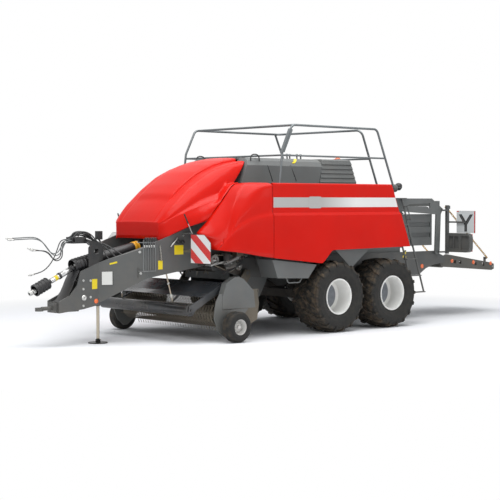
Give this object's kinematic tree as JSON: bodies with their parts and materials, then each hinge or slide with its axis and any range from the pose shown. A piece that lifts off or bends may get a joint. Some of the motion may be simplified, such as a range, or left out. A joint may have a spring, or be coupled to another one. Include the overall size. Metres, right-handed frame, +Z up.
{
  "type": "square baler",
  "caption": "Towed large square baler on a tandem axle, with pickup, side doors, hood, bale chamber, rear chute, guard rails, jack and hitch.",
  "frame": {"origin": "middle of the machine's box without the free hoses, on the ground", "axes": "+X towards the hitch, +Y to the machine's left, +Z up"},
  "size_m": [10.7084, 3.151, 3.429],
  "materials": {
    "tyre": "matte",
    "rim_paint": "satin",
    "red_paint": "gloss",
    "grey_paint": "satin",
    "dark_paint": "satin",
    "galvanised": "satin",
    "steel": "worn",
    "black_plastic": "matte",
    "hose_rubber": "matte",
    "coupler_metal": "satin"
  },
  "bodies": {
    "frame": {"bogie": "dark_paint", "chassis_left": "dark_paint", "chassis_right": "dark_paint", "chamber": "grey_paint", "hoop": "grey_paint", "drawbar": "dark_paint", "hitch": "steel", "pto_guard": "black_plastic", "driveline": "black_plastic", "gearbox": "dark_paint", "fairing_left": "red_paint", "fairing_right": "red_paint", "side_frame_left": "grey_paint", "side_frame_right": "grey_paint", "top_cover": "grey_paint", "rail_left": "galvanised", "rail_right": "galvanised", "rear_light_left": "dark_paint", "rear_light_right": "dark_paint", "ladder_upper": "dark_paint", "hose_carrier": "dark_paint", "hose_a": "hose_rubber", "hose_b": "hose_rubber", "hose_c": "hose_rubber", "hose_d": "hose_rubber", "hose_e": "hose_rubber", "couplers": "coupler_metal"},
    "jack": {"jack_leg": "steel"},
    "pto": {"pto_shaft": "steel"},
    "flywheel": {"flywheel": "steel"},
    "hood": {"hood": "red_paint"},
    "door_left": {"door_left": "red_paint"},
    "door_right": {"door_right": "red_paint"},
    "flap_left": {"flap_left": "grey_paint"},
    "flap_right": {"flap_right": "grey_paint"},
    "flap_top": {"flap_top": "grey_paint"},
    "plunger": {"plunger": "steel"},
    "pickup": {"pickup_frame": "dark_paint", "pickup_shield_left": "red_paint", "pickup_shield_right": "red_paint"},
    "reel": {"tine_reel": "steel"},
    "wind_guard": {"wind_guard": "dark_paint"},
    "wind_roller": {"wind_roller": "steel"},
    "chute": {"chute": "grey_paint"},
    "chute_roller": {"chute_roller": "steel"},
    "chain_left": {"chain_left": "galvanised"},
    "chain_right": {"chain_right": "galvanised"},
    "ladder": {"ladder": "dark_paint"},
    "wheel_front_left": {"tyre_front_left": "tyre", "rim_front_left": "rim_paint"},
    "wheel_front_right": {"tyre_front_right": "tyre", "rim_front_right": "rim_paint"},
    "wheel_rear_left": {"tyre_rear_left": "tyre", "rim_rear_left": "rim_paint"},
    "wheel_rear_right": {"tyre_rear_right": "tyre", "rim_rear_right": "rim_paint"},
    "gauge_left": {"gauge_tyre_left": "tyre", "gauge_rim_left": "rim_paint"},
    "gauge_right": {"gauge_tyre_right": "tyre", "gauge_rim_right": "rim_paint"}
  },
  "joints": [
    {"name": "wheel_front_left_spin", "type": "hinge", "parent": "frame", "child": "wheel_front_left", "pos_m": [0.05508, 1.188, 0.595], "axis": [0, 1, 0], "continuous": true},
    {"name": "wheel_front_right_spin", "type": "hinge", "parent": "frame", "child": "wheel_front_right", "pos_m": [0.05508, -1.188, 0.595], "axis": [0, 1, 0], "continuous": true},
    {"name": "wheel_rear_left_spin", "type": "hinge", "parent": "frame", "child": "wheel_rear_left", "pos_m": [-1.26392, 1.188, 0.595], "axis": [0, 1, 0], "continuous": true},
    {"name": "wheel_rear_right_spin", "type": "hinge", "parent": "frame", "child": "wheel_rear_right", "pos_m": [-1.26392, -1.188, 0.595], "axis": [0, 1, 0], "continuous": true},
    {"name": "gauge_left_spin", "type": "hinge", "parent": "pickup", "child": "gauge_left", "pos_m": [2.34708, 1.468, 0.24], "axis": [0, 1, 0], "continuous": true},
    {"name": "gauge_right_spin", "type": "hinge", "parent": "pickup", "child": "gauge_right", "pos_m": [2.34708, -1.468, 0.24], "axis": [0, 1, 0], "continuous": true},
    {"name": "jack_slide", "type": "slide", "parent": "frame", "child": "jack", "axis": [0, 0, 1], "range_m": [0, 0.32]},
    {"name": "pto_spin", "type": "hinge", "parent": "frame", "child": "pto", "pos_m": [5.10008, 0, 0.822], "axis": [-0.9063, 0, 0.4226], "continuous": true},
    {"name": "flywheel_spin", "type": "hinge", "parent": "frame", "child": "flywheel", "pos_m": [4.2554, 0, 1.21588], "axis": [-0.9763, 0, 0.2164], "continuous": true},
    {"name": "hood_hinge", "type": "hinge", "parent": "frame", "child": "hood", "pos_m": [1.42708, 0, 2.866], "axis": [0, -1, 0], "range_deg": [0, 60]},
    {"name": "door_left_hinge", "type": "hinge", "parent": "frame", "child": "door_left", "pos_m": [0.05508, 1.322, 2.434], "axis": [1, 0, 0], "range_deg": [0, 85]},
    {"name": "door_right_hinge", "type": "hinge", "parent": "frame", "child": "door_right", "pos_m": [0.05508, -1.322, 2.434], "axis": [-1, 0, 0], "range_deg": [0, 85]},
    {"name": "flap_left_hinge", "type": "hinge", "parent": "frame", "child": "flap_left", "pos_m": [-2.42492, 0.623, 1.646], "axis": [0, 0, 1], "range_deg": [0, 4]},
    {"name": "flap_right_hinge", "type": "hinge", "parent": "frame", "child": "flap_right", "pos_m": [-2.42492, -0.623, 1.646], "axis": [0, 0, -1], "range_deg": [0, 4]},
    {"name": "flap_top_hinge", "type": "hinge", "parent": "frame", "child": "flap_top", "pos_m": [-2.42492, 0, 2.043], "axis": [0, -1, 0], "range_deg": [0, 4]},
    {"name": "plunger_slide", "type": "slide", "parent": "frame", "child": "plunger", "axis": [-1, 0, 0], "range_m": [-0.35, 0.35]},
    {"name": "pickup_lift", "type": "hinge", "parent": "frame", "child": "pickup", "pos_m": [1.47508, 0, 1.01], "axis": [0, -1, 0], "range_deg": [0, 13]},
    {"name": "reel_spin", "type": "hinge", "parent": "pickup", "child": "reel", "pos_m": [2.38508, 0, 0.42], "axis": [0, 1, 0], "continuous": true},
    {"name": "wind_guard_hinge", "type": "hinge", "parent": "pickup", "child": "wind_guard", "pos_m": [2.26508, 0, 0.87], "axis": [0, 1, 0], "range_deg": [-20, 0]},
    {"name": "wind_roller_spin", "type": "hinge", "parent": "wind_guard", "child": "wind_roller", "pos_m": [2.98508, 0, 0.51], "axis": [0, 1, 0], "continuous": true},
    {"name": "chute_fold", "type": "hinge", "parent": "frame", "child": "chute", "pos_m": [-3.54492, 0, 1.075], "axis": [0, 1, 0], "range_deg": [0, 88]},
    {"name": "chute_roller_spin", "type": "hinge", "parent": "chute", "child": "chute_roller", "pos_m": [-5.09898, 0, 0.89404], "axis": [0, 1, 0], "continuous": true},
    {"name": "chain_left_swing", "type": "hinge", "parent": "frame", "child": "chain_left", "pos_m": [-3.58492, 0.705, 2.06], "axis": [0, -1, 0], "range_deg": [0, 51]},
    {"name": "chain_right_swing", "type": "hinge", "parent": "frame", "child": "chain_right", "pos_m": [-3.58492, -0.705, 2.06], "axis": [0, -1, 0], "range_deg": [0, 51]},
    {"name": "ladder_fold", "type": "hinge", "parent": "frame", "child": "ladder", "pos_m": [-2.14492, 1.005, 1.385], "axis": [1, 0, 0], "range_deg": [0, 150]}
  ],
  "couplings": [
    {"joint": "pto_spin", "follows": "flywheel_spin", "ratio": 1}
  ]
}
